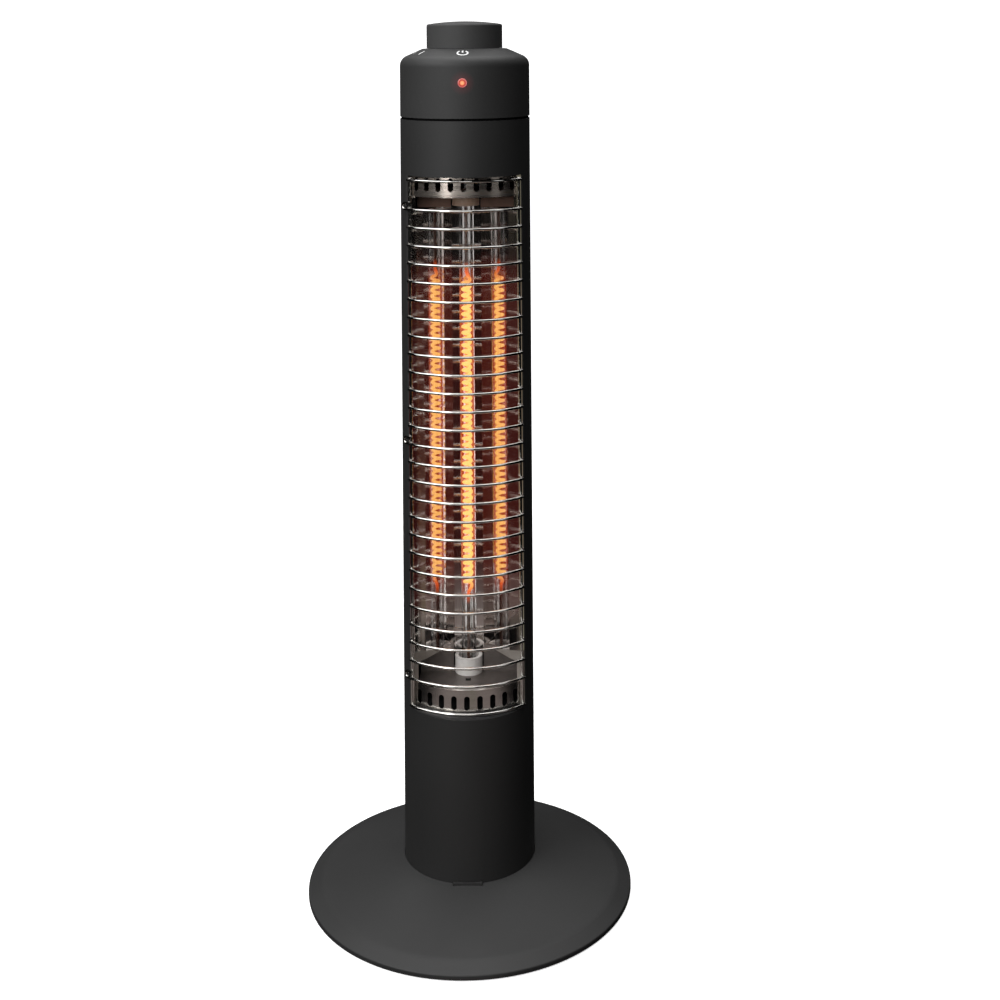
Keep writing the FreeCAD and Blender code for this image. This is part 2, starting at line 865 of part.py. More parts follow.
def band_slots(levels):
    """Round-ended slots cut square through the bowed band."""
    half = slot_width / 2
    low, high = levels[0] + half, levels[1] - half
    near = band_radius - slot_width
    far = band_radius + slot_width
    tools = []
    for i in range(slot_count):
        angle = math.degrees((i - (slot_count - 1) / 2) * slot_pitch / band_radius)
        slot = fuse(
            box(-half, half, -far, -near, low, high),
            cyl_y(half, -far, -near, 0, low),
            cyl_y(half, -far, -near, 0, high),
        )
        slot.rotate(vec(0, 0, 0), Z_AXIS, angle)
        slot.translate(vec(0, band_centre_y, 0))
        tools.append(slot)
    return tools


def end_cup(plate_z, inward):
    levels = sorted((plate_z, plate_z + inward * cup_height))
    floor = sorted((plate_z, plate_z + inward * cup_floor))
    hollow = sorted((plate_z + inward * cup_floor, plate_z + inward * cup_height))
    cup = cyl(cup_radius, *levels, 0, tube_y)
    return cut(
        cup,
        cyl(cup_radius - cup_wall, *hollow, 0, tube_y),
        cyl(cap_pin_radius + screw_gap, *floor, 0, tube_y),
    )


def tube_cap(plate_z, inward):
    """Plug in the tube's end with a flange below it and a pin out through the cup and the plate."""
    seat = plate_z + inward * cup_floor
    flange = sorted((seat, seat + inward * cap_flange))
    plug = sorted((seat, seat + inward * (cap_flange + cap_plug)))
    pin = sorted((seat, seat - inward * cap_pin_length))
    return fuse(
        cyl(tube_radius, *flange, 0, tube_y),
        cyl(tube_radius - tube_wall - screw_gap, *plug, 0, tube_y),
        cyl(cap_pin_radius, *pin, 0, tube_y),
    )


def quartz_tube():
    return ring(tube_radius, tube_radius - tube_wall, tube_bottom_z, tube_top_z, 0, tube_y)


def heating_coil():
    """Wound wire on the tube's axis, with a straight tail to the plug at each end."""
    coil_z = tube_bottom_z + coil_above_tube_end
    coil_pitch = (tube_top_z - coil_below_tube_end - coil_z) / coil_turns
    turns, start, end = helix_edges(0, tube_y, coil_radius, coil_pitch, coil_turns, coil_z)
    first, first_way = start
    last, last_way = end
    low_tail = vec(0, tube_y, first.z - tail_rise)
    high_tail = vec(0, tube_y, last.z + tail_rise)
    edges = [Part.makeLine(vec(0, tube_y, tube_bottom_z + cap_plug), low_tail)]
    edges += biarc(low_tail, Z_AXIS, first, first_way)
    edges += turns
    edges += biarc(last, last_way, high_tail, Z_AXIS)
    edges.append(Part.makeLine(high_tail, vec(0, tube_y, tube_top_z - cap_plug)))
    print_self_gap("heating_coil", turns, coil_wire_radius, coil_turns)
    return wire_along(edges, coil_wire_radius)


lower_pin_z = lower_plate_z + cup_floor - cap_pin_length
upper_pin_z = upper_plate_z - cup_floor + cap_pin_length
board_bottom_z = head_bottom_z + board_post_height


def lower_lead_wire():
    return cyl(lead_radius, socket_floor_z + plug_floor + terminal_height, lower_pin_z, 0, tube_y)


def upper_lead_wire():
    return cyl(lead_radius, upper_pin_z, board_bottom_z, 0, tube_y)


cutout_y = reflector_back_y + sheet
cutout_z = (window_bottom_z + window_top_z) / 2 + cutout_above_middle
cutout_screw_x = cutout_radius + cutout_ear / 2


def thermal_cutout():
    can = cyl_y(cutout_radius, cutout_y, cutout_y + cutout_height, 0, cutout_z)
    reach = cutout_radius + cutout_ear
    half = cutout_ear / 2
    ear = box(-reach, reach, cutout_y, cutout_y + cutout_ear_thickness, cutout_z - half, cutout_z + half)
    holes = [
        cyl_y(screw_hole, cutout_y, cutout_y + cutout_ear_thickness, x, cutout_z)
        for x in (-cutout_screw_x, cutout_screw_x)
    ]
    return cut(fuse(can, ear), *holes)


def cutout_screws():
    return group(
        screw(x, cutout_y + cutout_ear_thickness, cutout_z, Y_AXIS * -1, cutout_ear_thickness)
        for x in (-cutout_screw_x, cutout_screw_x)
    )


# Head


def head_collar():
    """Ring that joins the column to the head and floors the head, with posts for the board."""
    rim = cyl(column_radius - groove_depth, column_top_z, head_bottom_z)
    floor = cyl(plug_radius, head_bottom_z - collar_floor, column_top_z)
    skirt = ring(plug_radius, plug_inner, column_top_z - collar_skirt, column_top_z)
    post = cyl(board_post_radius, head_bottom_z - collar_floor, board_bottom_z, board_post_circle)
    lead_hole = cyl(lead_radius + seat_gap, head_bottom_z - collar_floor, head_bottom_z, 0, tube_y)
    screw_bore = cyl(screw_hole, head_bottom_z - collar_floor, head_bottom_z, head_boss_circle)
    post_bore = cyl(screw_hole, board_bottom_z - screw_length, board_bottom_z, board_post_circle)
    body = fuse(rim, floor, skirt, *post_copies(post))
    return cut(body, lead_hole, *boss_copies(screw_bore), *post_copies(post_bore),
               *rear_holes("collar", screw_hole))


head_boss_circle = column_radius - boss_inset
flat_radius = knob_radius + knob_margin


def head_shell():
    shoulder_z = head_bottom_z + head_side
    shell = revolved([
        (column_radius, head_bottom_z, 0),
        (column_radius, shoulder_z, shoulder_round),
        (flat_radius, head_top_z, shoulder_top_round),
        (bush_radius + screw_gap, head_top_z, 0),
        (bush_radius + screw_gap, head_top_z - head_wall, 0),
        (flat_radius, head_top_z - head_wall, 0),
        (head_inner, shoulder_z - head_wall, shoulder_round - head_wall),
        (head_inner, head_bottom_z, 0),
    ])
    boss = cyl(boss_radius, head_bottom_z, head_bottom_z + boss_height, head_boss_circle)
    web = box(head_boss_circle, head_inner + head_wall / 2, -head_wall / 2, head_wall / 2,
              head_bottom_z, head_bottom_z + boss_height)
    boss_bore = cyl(screw_hole, head_bottom_z, head_bottom_z + boss_height - head_wall, head_boss_circle)
    lens_hole = cyl_y(lens_radius + screw_gap, -2 * column_radius, 0, 0, led_z)
    shell = fuse(shell, *boss_copies(fuse(boss, web)))
    return cut(shell, lens_hole, *boss_copies(boss_bore))


led_z = head_bottom_z + led_height
board_top_z = board_bottom_z + board_thickness
lens_back_y = -math.sqrt(head_inner**2 - (lens_radius + lens_flange)**2) + seat_gap + lens_flange
led_back_y = lens_back_y + seat_gap + led_length


def head_screws():
    one = screw(head_boss_circle, 0, head_bottom_z - collar_floor, Z_AXIS, screw_length + collar_floor)
    return group(boss_copies(one))


def control_board():
    board = cyl(board_radius, board_bottom_z, board_top_z)
    hole = cyl(screw_hole, board_bottom_z, board_top_z, board_post_circle)
    return cut(board, *post_copies(hole))


def board_screws():
    one = screw(board_post_circle, 0, board_top_z, Z_AXIS * -1, screw_length)
    return group(post_copies(one))


def led_lens():
    window = cyl_y(lens_radius, -column_radius - lens_proud, lens_back_y, 0, led_z)
    edges = [edge for edge in window.Edges if edge.BoundBox.YMax < -column_radius]
    window = window.makeFillet(lens_round, edges)
    flange = cyl_y(lens_radius + lens_flange, lens_back_y - lens_flange, lens_back_y, 0, led_z)
    return fuse(window, flange)


def led():
    """Bulb behind the lens on two legs that bend down to the board."""
    bulb = cyl_y(led_radius, led_back_y - led_length, led_back_y, 0, led_z)
    half = led_pin / 2
    legs = []
    for x in (-led_pin_spacing / 2, led_pin_spacing / 2):
        leg_y = -board_radius + 2 * led_pin
        legs.append(box(x - half, x + half, led_back_y, leg_y + half, led_z - half, led_z + half))
        legs.append(box(x - half, x + half, leg_y - half, leg_y + half, board_top_z, led_z + half))
    return fuse(bulb, *legs)


def heat_sink():
    half = sink_length / 2
    top = board_top_z + sink_height
    wall = box(-half, half, sink_from_axis, sink_from_axis + sink_thickness, board_top_z, top)
    step = (sink_length - sink_thickness / 2) / (sink_fin_count - 1)
    fin_end = sink_from_axis + sink_thickness + sink_fin
    fins = []
    for i in range(sink_fin_count):
        x = -half + i * step
        fins.append(box(x, x + sink_thickness / 2, sink_from_axis, fin_end, board_top_z, top))
    return fuse(wall, *fins)


def triac():
    half = triac_width / 2
    low = board_top_z + seat_gap
    return box(-half, half, sink_from_axis - triac_depth, sink_from_axis, low, low + triac_height)


control_top_z = head_top_z - head_wall
bush_top_z = head_top_z + bush_above_head
shaft_top_z = knob_top_z - knob_cap - seat_gap


def rotary_control():
    can = cyl(control_radius, control_top_z - control_height, control_top_z)
    bush = cyl(bush_radius, control_top_z, bush_top_z)
    bore = cyl(shaft_radius + run_gap, bush_top_z - bush_above_head - head_wall - shaft_depth, bush_top_z)
    return cut(fuse(can, bush), bore)


def control_nut():
    points = [radial(360.0 * i / nut_sides, nut_radius) for i in range(nut_sides)]
    nut = prism(points, head_top_z, head_top_z + nut_height)
    return cut(nut, cyl(bush_radius + screw_gap, head_top_z, head_top_z + nut_height))


def control_shaft():
    return cyl(shaft_radius, control_top_z - shaft_depth + seat_gap, shaft_top_z)


def knob():
    """Hollow cap with a crowned top and a central boss on the shaft."""
    ceiling = knob_top_z - knob_cap
    bore = shaft_radius + run_gap
    boss = bore + knob_boss_wall
    inside = knob_radius - knob_wall
    slope = 2 * math.atan(knob_crown / (knob_radius - knob_round))
    edge_x = knob_radius - knob_round * (1 - math.sin(slope))
    edge_z = knob_top_z - edge_x * math.tan(slope / 2)
    round_z = edge_z - knob_round * math.cos(slope)
    top = vec(0, 0, knob_top_z)
    edge = vec(edge_x, 0, edge_z)
    side = vec(knob_radius, 0, round_z)
    half_slope = (math.pi / 2 + slope) / 2
    round_middle = vec(knob_radius - knob_round * (1 - math.sin(half_slope)), 0,
                       round_z + knob_round * math.cos(half_slope))
    corners = [side] + [
        vec(r, 0, z)
        for r, z in (
            (knob_radius, knob_bottom_z),
            (inside, knob_bottom_z),
            (inside, ceiling),
            (boss, ceiling),
            (boss, bush_top_z + knob_gap),
            (bore, bush_top_z + knob_gap),
            (bore, ceiling),
            (0, ceiling),
        )
    ] + [top]
    outline = [Part.makeLine(a, b) for a, b in zip(corners, corners[1:])]
    outline.append(tangent_arc(top, vec(edge_x / 2, 0, knob_top_z), edge).toShape())
    outline.append(Part.Arc(edge, round_middle, side).toShape())
    return closed_face(outline).revolve(vec(0, 0, 0), Z_AXIS, 360)


pieces = {
    "base_cover": base_cover,
    "base_plate": base_plate,
    "base_weight": base_weight,
    "rubber_feet": rubber_feet,
    "base_plate_screws": base_plate_screws,
    "column_bolts": column_bolts,
    "tip_plunger": tip_plunger,
    "tip_guide": tip_guide,
    "tip_spring": tip_spring,
    "tip_switch": tip_switch,
    "column_shell": column_shell,
    "column_screws": column_screws,
    "column_foot": column_foot,
    "lower_baffle": lambda: baffle(window_bottom_z, -1, "lower_baffle"),
    "upper_baffle": lambda: baffle(window_top_z, 1, "upper_baffle"),
    "cord_gland": cord_gland,
    "terminal_block": terminal_block,
    "guard_wires": guard_wires,
    "guard_hook_wires": guard_hook_wires,
    "guard_frame": guard_frame,
    "guard_uprights": guard_uprights,
    "reflector": reflector,
    "lower_end_plate": lambda: end_plate(lower_plate_z, lower_ear_z, window_bottom_z),
    "upper_end_plate": lambda: end_plate(upper_plate_z, upper_ear_z, window_top_z),
    "lower_ceramic_cup": lambda: end_cup(lower_plate_z, 1),
    "upper_ceramic_cup": lambda: end_cup(upper_plate_z, -1),
    "lower_tube_cap": lambda: tube_cap(lower_plate_z, 1),
    "upper_tube_cap": lambda: tube_cap(upper_plate_z, -1),
    "quartz_tube": quartz_tube,
    "heating_coil": heating_coil,
    "lower_lead_wire": lower_lead_wire,
    "upper_lead_wire": upper_lead_wire,
    "thermal_cutout": thermal_cutout,
    "cutout_screws": cutout_screws,
    "head_collar": head_collar,
    "head_shell": head_shell,
    "head_screws": head_screws,
    "control_board": control_board,
    "board_screws": board_screws,
    "led_lens": led_lens,
    "led": led,
    "heat_sink": heat_sink,
    "triac": triac,
    "rotary_control": rotary_control,
    "control_nut": control_nut,
    "control_shaft": control_shaft,
    "knob": knob,
}

os.makedirs("parts", exist_ok=True)
for name, make in pieces.items():
    make().exportStep("parts/" + name + ".step")
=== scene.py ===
import math

import bmesh
import bpy
from mathutils import Matrix, Vector


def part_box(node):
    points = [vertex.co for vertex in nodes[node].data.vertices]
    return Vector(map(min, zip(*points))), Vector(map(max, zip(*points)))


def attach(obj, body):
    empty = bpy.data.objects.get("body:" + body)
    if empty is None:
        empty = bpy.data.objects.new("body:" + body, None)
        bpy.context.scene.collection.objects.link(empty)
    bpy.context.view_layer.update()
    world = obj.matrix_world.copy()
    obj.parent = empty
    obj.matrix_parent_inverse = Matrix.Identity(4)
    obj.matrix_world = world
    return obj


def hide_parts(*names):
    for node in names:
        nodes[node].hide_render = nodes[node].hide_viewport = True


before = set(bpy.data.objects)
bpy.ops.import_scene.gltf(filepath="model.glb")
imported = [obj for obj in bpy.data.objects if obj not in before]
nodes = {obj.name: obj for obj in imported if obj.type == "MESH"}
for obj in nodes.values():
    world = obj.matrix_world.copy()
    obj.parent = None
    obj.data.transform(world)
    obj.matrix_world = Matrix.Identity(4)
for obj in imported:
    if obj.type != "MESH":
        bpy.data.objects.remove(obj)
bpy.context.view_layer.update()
scene = bpy.context.scene

# Base plate: the pressed steel disc that closes the base from below.
# It is painted black and held to the cover by six screws between the feet.

noise_low, noise_high = 0.3, 0.7
mottled_swing = 0.05


def grey(value):
    """Colour without a hue."""
    return (value, value, value)


def add_node(tree, kind, inputs=None, **settings):
    """Shader node of that kind; an input is either a value or another node's output."""
    node = tree.nodes.new("ShaderNode" + kind)
    for name, value in settings.items():
        setattr(node, name, value)
    for socket, value in (inputs or {}).items():
        if isinstance(value, bpy.types.NodeSocket):
            tree.links.new(value, node.inputs[socket])
        else:
            node.inputs[socket].default_value = value
    return node


def new_finish(name, roughness, metallic=0.0, specular=0.5):
    """Material with one Principled shader; returns the material, its tree and the shader."""
    material = bpy.data.materials.new(name)
    material.use_nodes = True
    shader = material.node_tree.nodes["Principled BSDF"]
    shader.inputs["Roughness"].default_value = roughness
    shader.inputs["Metallic"].default_value = metallic
    shader.inputs["Specular IOR Level"].default_value = specular
    return material, material.node_tree, shader


def place_on_piece(tree):
    """The piece's own coordinates, in metres."""
    return add_node(tree, "TexCoord").outputs["Object"]


def speckle(tree, size, stretch=(1.0, 1.0, 1.0), detail=3.0):
    """Noise fixed to the piece, with spots of about that size in metres."""
    stretched = add_node(tree, "Mapping", {"Vector": place_on_piece(tree), "Scale": stretch})
    noise = add_node(
        tree, "TexNoise", {"Vector": stretched.outputs["Vector"], "Scale": 1.0 / size, "Detail": detail}
    )
    return noise.outputs["Fac"]


def shades(tree, amount, stops):
    """Colour ramp over an amount from 0 to 1; stops are (place, colour)."""
    ramp = add_node(tree, "ValToRGB", {"Fac": amount})
    marks = ramp.color_ramp.elements
    while len(marks) < len(stops):
        marks.new(1.0)
    for mark, (place, colour) in zip(marks, stops):
        mark.position = place
        mark.color = (*colour, 1.0)
    return ramp.outputs["Color"]


def two_tones(tree, noise, dark, light):
    """Colour that wanders between two tones with the noise."""
    return shades(tree, noise, [(noise_low, dark), (noise_high, light)])


def spread(tree, amount, low, high):
    """Amount from 0 to 1 carried to the range low to high."""
    return add_node(tree, "MapRange", {"Value": amount, "To Min": low, "To Max": high}).outputs["Result"]


def roughen(tree, shader, amount, height, strength=0.5):
    """Small raised texture of that height in metres."""
    bump = add_node(tree, "Bump", {"Height": amount, "Distance": height, "Strength": strength})
    tree.links.new(bump.outputs["Normal"], shader.inputs["Normal"])


def mottled(name, dark, light, size, roughness, metallic=0.0, specular=0.5, height=0.0):
    """Finish whose colour wanders between two tones and whose surface is a little uneven."""
    material, tree, shader = new_finish(name, roughness, metallic, specular)
    noise = speckle(tree, size)
    uneven = spread(tree, noise, roughness - mottled_swing, roughness + mottled_swing)
    tree.links.new(two_tones(tree, noise, dark, light), shader.inputs["Base Color"])
    tree.links.new(uneven, shader.inputs["Roughness"])
    if height:
        roughen(tree, shader, noise, height)
    return material


def dress(material, *names):
    """Puts one finish on whole CAD nodes."""
    for name in names:
        mesh = nodes[name].data
        mesh.materials.clear()
        mesh.materials.append(material)


painted_steel = mottled(
    "painted_steel", grey(0.012), (0.02, 0.02, 0.021), size=0.002, roughness=0.5, height=2e-5
)
dress(painted_steel, "base_plate")

# Ballast ring: a cast iron weight that lies on the base plate, inside the cover.
# Its rough grey skin is left as it was cast.

cast_iron = mottled(
    "cast_iron",
    (0.05, 0.048, 0.046),
    (0.11, 0.105, 0.1),
    size=0.004,
    roughness=0.75,
    metallic=0.6,
    height=3e-4,
)
dress(cast_iron, "base_weight")

# Feet and cord inlet: moulded black rubber.
# The six feet are pressed into the base plate, and the gland into the column's rear wall.

rubber = mottled(
    "rubber", grey(0.012), grey(0.022), size=0.0015, roughness=0.75, specular=0.25, height=5e-5
)
dress(rubber, "rubber_feet", "cord_gland")

# Base cover: a low round dome with a bevelled rim and a socket for the column.
# It is moulded in black plastic with a fine satin grain.

satin_grain, satin_height, satin_strength = 0.0007, 4e-5, 0.35
satin_swing = 0.04
cloud_size, cloud_depth = 0.06, 0.07
cloud_low, cloud_high = 0.35, 0.65


def satin_black(name, tone, roughness):
    """Black finish that scatters light softly, with an even grain and faint broad clouds."""
    material, tree, shader = new_finish(name, roughness, specular=0.35)
    grain = speckle(tree, satin_grain)
    clouds = shades(
        tree,
        speckle(tree, cloud_size, detail=1.0),
        [(cloud_low, grey(tone * (1 - cloud_depth))), (cloud_high, grey(tone * (1 + cloud_depth)))],
    )
    uneven = spread(tree, grain, roughness - satin_swing, roughness + satin_swing)
    tree.links.new(clouds, shader.inputs["Base Color"])
    tree.links.new(uneven, shader.inputs["Roughness"])
    roughen(tree, shader, grain, satin_height, satin_strength)
    return material


shell_black = satin_black("satin_black_shell", tone=0.026, roughness=0.58)
dress(shell_black, "base_cover", "column_foot")

# Screws: zinc-plated pan heads with a cross recess, each cut from one bar.
# Six hold the base plate from below and eight hold the column's fittings from behind.

zinc_plate = mottled(
    "zinc_plate", (0.42, 0.42, 0.43), grey(0.6), size=0.001, roughness=0.35, metallic=1.0, height=1e-5
)
dress(zinc_plate, "column_bolts", "head_screws", "board_screws", "cutout_screws")
dress(zinc_plate, "rotary_control", "control_nut")

screw_head_radius, screw_head_height = 0.0028, 0.0015
rim_share = 0.55
crown_angles = (90, 70, 50, 30, 12)
shank_radius = 0.0015
recess_width, recess_length, recess_depth = 0.0009, 0.0032, 0.0009
recess_overcut = 1e-4
screw_sides = 24
merge_distance = 1e-6


def shape_to_mesh(shape, name):
    """Mesh made from an edited shape, which is given up."""
    mesh = bpy.data.meshes.new(name)
    shape.to_mesh(mesh)
    shape.free()
    return mesh


def lathe(name, profile, steps):
    """Closed mesh turned about Z from (radius, z) points that start and end on the axis."""
    shape = bmesh.new()
    corners = [shape.verts.new((radius, 0.0, z)) for radius, z in profile]
    edges = [shape.edges.new(pair) for pair in zip(corners, corners[1:])]
    bmesh.ops.spin(
        shape, geom=corners + edges, axis=(0, 0, 1), cent=(0, 0, 0), angle=2 * math.pi, steps=steps
    )
    bmesh.ops.remove_doubles(shape, verts=shape.verts, dist=merge_distance)
    bmesh.ops.recalc_face_normals(shape, faces=shape.faces)
    return shape_to_mesh(shape, name)


def loose(name, data):
    """Object in the scene; its data is a mesh, text, light or camera, or None."""
    piece = bpy.data.objects.new(name, data)
    scene.collection.objects.link(piece)
    return piece


def settled(piece, name):
    """Plain mesh object with the piece's modifiers applied; the piece itself is removed."""
    evaluated = piece.evaluated_get(bpy.context.evaluated_depsgraph_get())
    mesh = bpy.data.meshes.new_from_object(evaluated)
    bpy.data.objects.remove(piece)
    mesh.name = name
    return loose(name, mesh)


def block(name, size, centre):
    """Box of that size about its centre."""
    shape = bmesh.new()
    bmesh.ops.create_cube(shape, size=1.0)
    bmesh.ops.scale(shape, vec=size, verts=shape.verts)
    bmesh.ops.translate(shape, vec=centre, verts=shape.verts)
    return shape_to_mesh(shape, name)


def pan_head_screw(length):
    """Screw along Z whose head bears at z = 0 and whose shank runs down."""
    rim = rim_share * screw_head_height
    shank = [(0, -length), (shank_radius, -length), (shank_radius, 0), (screw_head_radius, 0)]
    crown = [
        (screw_head_radius * math.sin(t), rim + (screw_head_height - rim) * math.cos(t))
        for t in (math.radians(a) for a in crown_angles)
    ]
    screw = loose("screw", lathe("screw", shank + crown + [(0, screw_head_height)], screw_sides))
    middle = screw_head_height - recess_depth / 2 + recess_overcut
    depth = recess_depth + 2 * recess_overcut
    for turn, width, breadth in (
        ("across", recess_length, recess_width),
        ("along", recess_width, recess_length),
    ):
        cutter = loose("recess_" + turn, block("recess", (width, breadth, depth), (0, 0, middle)))
        cut = screw.modifiers.new(turn, "BOOLEAN")
        cut.object = cutter
        cut.operation = "DIFFERENCE"
        screw = settled(screw, "screw")
        bpy.data.objects.remove(cutter)
    return screw


def scatter_tree(name):
    """Geometry Nodes tree that sets one piece on every point, turned to the point's outward vector."""
    tree = bpy.data.node_groups.new(name, "GeometryNodeTree")
    for socket, kind, in_out in (
        ("Places", "NodeSocketGeometry", "INPUT"),
        ("Piece", "NodeSocketObject", "INPUT"),
        ("Finish", "NodeSocketMaterial", "INPUT"),
        ("Pieces", "NodeSocketGeometry", "OUTPUT"),
    ):
        tree.interface.new_socket(name=socket, in_out=in_out, socket_type=kind)
    new = tree.nodes.new
    given, result = new("NodeGroupInput"), new("NodeGroupOutput")
    piece = new("GeometryNodeObjectInfo")
    outward = new("GeometryNodeInputNamedAttribute")
    outward.data_type = "FLOAT_VECTOR"
    outward.inputs["Name"].default_value = "outward"
    turn = new("FunctionNodeAlignRotationToVector")
    turn.axis = "Z"
    place = new("GeometryNodeInstanceOnPoints")
    real = new("GeometryNodeRealizeInstances")
    paint = new("GeometryNodeSetMaterial")
    for start, end in (
        (given.outputs["Places"], place.inputs["Points"]),
        (given.outputs["Piece"], piece.inputs["Object"]),
        (piece.outputs["Geometry"], place.inputs["Instance"]),
        (outward.outputs["Attribute"], turn.inputs["Vector"]),
        (turn.outputs["Rotation"], place.inputs["Rotation"]),
        (place.outputs["Instances"], real.inputs["Geometry"]),
        (real.outputs["Geometry"], paint.inputs["Geometry"]),
        (given.outputs["Finish"], paint.inputs["Material"]),
        (paint.outputs["Geometry"], result.inputs["Pieces"]),
    ):
        tree.links.new(start, end)
    return tree


scatter = scatter_tree("set_on_places")


def set_on_places(name, piece, places, finish):
    """One mesh with a copy of the piece at each (point, outward) place."""
    mesh = bpy.data.meshes.new(name)
    mesh.from_pydata([point for point, outward in places], [], [])
    arrows = mesh.attributes.new("outward", "FLOAT_VECTOR", "POINT")
    for arrow, (point, outward) in zip(arrows.data, places):
        arrow.vector = outward
    carrier = loose(name + "_places", mesh)
    fill = carrier.modifiers.new("copies", "NODES")
    fill.node_group = scatter
    given = {"Piece": piece, "Finish": finish}
    for socket in scatter.interface.items_tree:
        if socket.name in given:
            fill[socket.identifier] = given[socket.name]
    made = settled(carrier, name)
    bpy.data.objects.remove(piece)
    return made


plate_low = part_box("base_plate")[0]
feet_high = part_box("rubber_feet")[1]
foot_radius = 0.007
screw_circle = feet_high.x - foot_radius
plate_screw_length = 0.004
plate_screw_count = 6
plate_screw_places = []
for i in range(plate_screw_count):
    bearing = math.radians(360 / plate_screw_count * (i + 0.5))
    point = (screw_circle * math.cos(bearing), screw_circle * math.sin(bearing), plate_low.z)
    plate_screw_places.append((point, (0, 0, -1)))
plate_screws = set_on_places(
    "base_plate_screw_set", pan_head_screw(plate_screw_length), plate_screw_places, zinc_plate
)
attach(plate_screws, "heater")
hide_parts("base_plate_screws")

# Tip-over switch: a white plunger that the floor pushes up against a spring.
# The guide and the switch body are black plastic, fixed inside the base.

inner_black = mottled(
    "inner_black", (0.014, 0.014, 0.015), (0.024, 0.024, 0.025), size=0.002, roughness=0.5, height=2e-5
)
spring_wire = mottled(
    "spring_wire", (0.3, 0.3, 0.31), (0.45, 0.45, 0.46), size=0.001, roughness=0.3, metallic=1.0
)
white_plastic = mottled(
    "white_plastic", (0.66, 0.65, 0.62), (0.74, 0.73, 0.7), size=0.004, roughness=0.45, height=1e-5
)
dress(inner_black, "tip_guide", "tip_switch", "lower_baffle", "upper_baffle", "triac")
dress(spring_wire, "tip_spring")
dress(white_plastic, "tip_plunger", "terminal_block")

# Column: a rolled steel tube with the window cut out of its front.
# It is powder coated in satin black, and screws from behind hold what is inside it.

column_black = satin_black("satin_black_column", tone=0.02, roughness=0.56)
dress(column_black, "column_shell")

column_low, column_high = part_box("column_shell")
column_radius = column_high.x
rear_bearing = math.radians(28.0)
foot_screw_rise = 0.017
baffle_screw_inset = 0.006
collar_screw_drop = 0.010
rear_screw_length = 0.0037
rear_levels = (
    column_low.z + foot_screw_rise,
    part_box("lower_baffle")[0].z + baffle_screw_inset,
    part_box("upper_baffle")[1].z - baffle_screw_inset,
    column_high.z - collar_screw_drop,
)
rear_screw_places = []
for level in rear_levels:
    for side in (-1, 1):
        outward = Vector((side * math.sin(rear_bearing), math.cos(rear_bearing), 0.0))
        rear_screw_places.append((outward * column_radius + Vector((0, 0, level)), outward))
rear_screws = set_on_places(
    "column_screw_set", pan_head_screw(rear_screw_length), rear_screw_places, zinc_plate
)
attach(rear_screws, "heater")
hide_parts("column_screws")

# Reflector: a sheet of bright aluminium folded into a trough, with a flange down each side of the window.
# Rolling leaves faint upright lines and waviness in it, and a thin haze takes up the coil's red light; over
# the coil's height a faint red glow is also painted on as emission, painted light from the coil.
# Dust has dulled its lower end, the more so towards the front.

tube_low, tube_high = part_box("quartz_tube")
coil_above_tube_end, coil_below_tube_end = 0.0595, 0.0638
coil_low, coil_high = tube_low.z + coil_above_tube_end, tube_high.z - coil_below_tube_end
haze_share = 0.015
red_fade = 0.02
unlit, painted_red_glow = grey(0.0), (0.022, 0.0022, 0.0014)
dust_slope, dust_fade = 0.335, 0.0008
dust_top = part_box("lower_end_plate")[1].z + dust_fade


def share_between(tree, value, low, high):
    """0 where the value is low, 1 where it is high."""
    limits = {"Value": value, "From Min": low, "From Max": high}
    return add_node(tree, "MapRange", limits).outputs["Result"]


def shades_along(tree, axis, stops):
    """Colour ramp along one axis of the piece; stops are (place, colour), the lowest place first."""
    low, high = stops[0][0], stops[-1][0]
    place = add_node(tree, "SeparateXYZ", {"Vector": place_on_piece(tree)}).outputs[axis]
    shares = [((stop - low) / (high - low), colour) for stop, colour in stops]
    return shades(tree, share_between(tree, place, low, high), shares)


def vector_math(tree, operation, *vectors):
    """Outputs of a node that works on the given vectors."""
    return add_node(tree, "VectorMath", dict(enumerate(vectors)), operation=operation).outputs


def give_off(tree, shader, colour, strength=1.0):
    """Lets a shader give off light of that colour."""
    tree.links.new(colour, shader.inputs["Emission Color"])
    shader.inputs["Emission Strength"].default_value = strength


def blend(tree, share, first, second):
    """Mix of two shaders: the first where the share is 0, the second where it is 1."""
    return add_node(tree, "MixShader", {"Fac": share, 1: first, 2: second}).outputs["Shader"]


polished, tree, shader = new_finish("polished_aluminium", roughness=0.1, metallic=1.0)
lines = speckle(tree, size=0.0025, stretch=(1.0, 1.0, 0.015))
waves = speckle(tree, size=0.03, stretch=(1.0, 1.0, 0.2), detail=0.0)
bare_metal = two_tones(tree, lines, (0.63, 0.58, 0.555), (0.77, 0.74, 0.72))
tree.links.new(bare_metal, shader.inputs["Base Color"])
tree.links.new(spread(tree, lines, low=0.03, high=0.1), shader.inputs["Roughness"])
roughen(tree, shader, waves, height=2e-4, strength=0.08)
haze = add_node(tree, "BsdfPrincipled", {"Base Color": bare_metal, "Metallic": 1.0, "Roughness": 0.55})
# Painted light: a faint red glow given off over the coil's height, standing in for the coil's light that the
# sheet scatters.
painted_coil_light = shades_along(
    tree,
    "Z",
    [
        (coil_low - red_fade, unlit),
        (coil_low, painted_red_glow),
        (coil_high, painted_red_glow),
        (coil_high + red_fade, unlit),
    ],
)
give_off(tree, shader, painted_coil_light)
clean = blend(tree, haze_share, shader.outputs["BSDF"], haze.outputs["BSDF"])
dust = two_tones(tree, speckle(tree, size=0.006), (0.44, 0.4, 0.36), (0.51, 0.47, 0.43))
dusty = add_node(tree, "BsdfPrincipled", {"Base Color": dust, "Metallic": 0.7, "Roughness": 0.45})
rise = vector_math(tree, "DOT_PRODUCT", place_on_piece(tree), (0.0, dust_slope, 1.0))["Value"]
above_dust = share_between(tree, rise, dust_top - dust_fade, dust_top)
worn = blend(tree, above_dust, dusty.outputs["BSDF"], clean)
